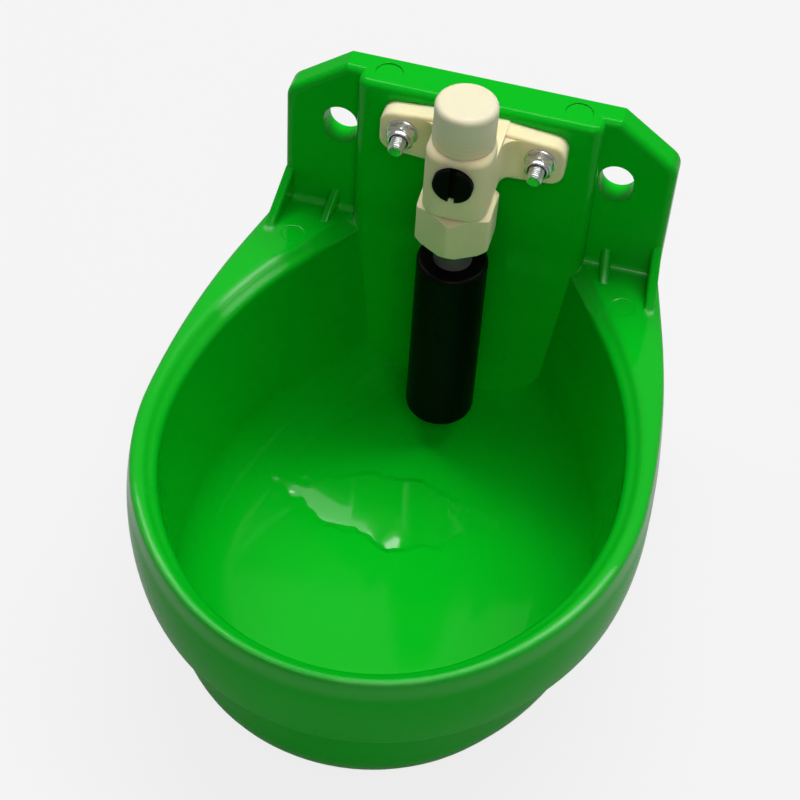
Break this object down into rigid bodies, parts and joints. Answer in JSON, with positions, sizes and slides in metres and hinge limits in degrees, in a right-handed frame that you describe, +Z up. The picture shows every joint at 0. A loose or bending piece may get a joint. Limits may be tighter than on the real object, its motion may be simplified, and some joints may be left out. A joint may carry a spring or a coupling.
{
  "type": "livestock drinking bowl",
  "caption": "Wall-mounted drinking bowl for livestock: a moulded bowl with a rolled rim and a bolted-on valve that lets water in while its tube is pushed.",
  "frame": {"origin": "on the wall plane at the back of the plate, midway between the two wall slots", "axes": "+Y into the wall, so the bowl reaches out along -Y; +Z up; +X to the right of someone who faces the wall"},
  "size_m": [0.191, 0.229, 0.1813],
  "materials": {
    "green_plastic": "glossy moulded polypropylene",
    "cream_nylon": "satin natural nylon",
    "black_plastic": "satin black",
    "black_tube_plastic": "satin black",
    "black_rubber": "smooth",
    "grey_plastic": "satin",
    "stainless_steel": "turned",
    "zinc_steel": "bright zinc plated"
  },
  "bodies": {
    "frame": {"bowl": "green_plastic", "valve_body": "cream_nylon", "union_nut": "cream_nylon", "seat_washer": "stainless_steel", "seat_seal": "black_rubber", "valve_bolts": "zinc_steel", "bolt_washers": "zinc_steel", "bolt_nuts": "zinc_steel"},
    "cap": {"inlet_cap": "cream_nylon"},
    "ring": {"regulator_oring": "black_rubber"},
    "regulator": {"regulator_screw": "black_plastic"},
    "spring": {"valve_spring": "stainless_steel"},
    "tube": {"valve_stem": "stainless_steel", "tube_collar": "grey_plastic", "push_tube": "black_tube_plastic"}
  },
  "joints": [
    {"name": "cap_pull", "type": "slide", "parent": "frame", "child": "cap", "axis": [0, 0, 1], "range_m": [0, 0.03]},
    {"name": "regulator_travel", "type": "slide", "parent": "frame", "child": "ring", "axis": [0, 1, 0], "range_m": [-0.0015, 0.0015]},
    {"name": "regulator_turn", "type": "hinge", "parent": "ring", "child": "regulator", "pos_m": [0, -0.0555, 0.0223], "axis": [0, 1, 0], "range_deg": [-360, 360]},
    {"name": "tube_sideways", "type": "hinge", "parent": "frame", "child": "spring", "pos_m": [0, -0.04, -0.0068], "axis": [0, 1, 0], "range_deg": [-12, 12], "stiffness_Nm_per_rad": 1, "deforming": ["valve_spring", "seat_seal"]},
    {"name": "tube_push", "type": "hinge", "parent": "spring", "child": "tube", "pos_m": [0, -0.04, -0.0068], "axis": [1, 0, 0], "range_deg": [-12, 5], "stiffness_Nm_per_rad": 1, "deforming": ["valve_spring", "seat_seal"]}
  ],
  "couplings": [
    {"joint": "regulator_turn", "follows": "regulator_travel", "rad_per_m": 4188.8}
  ]
}
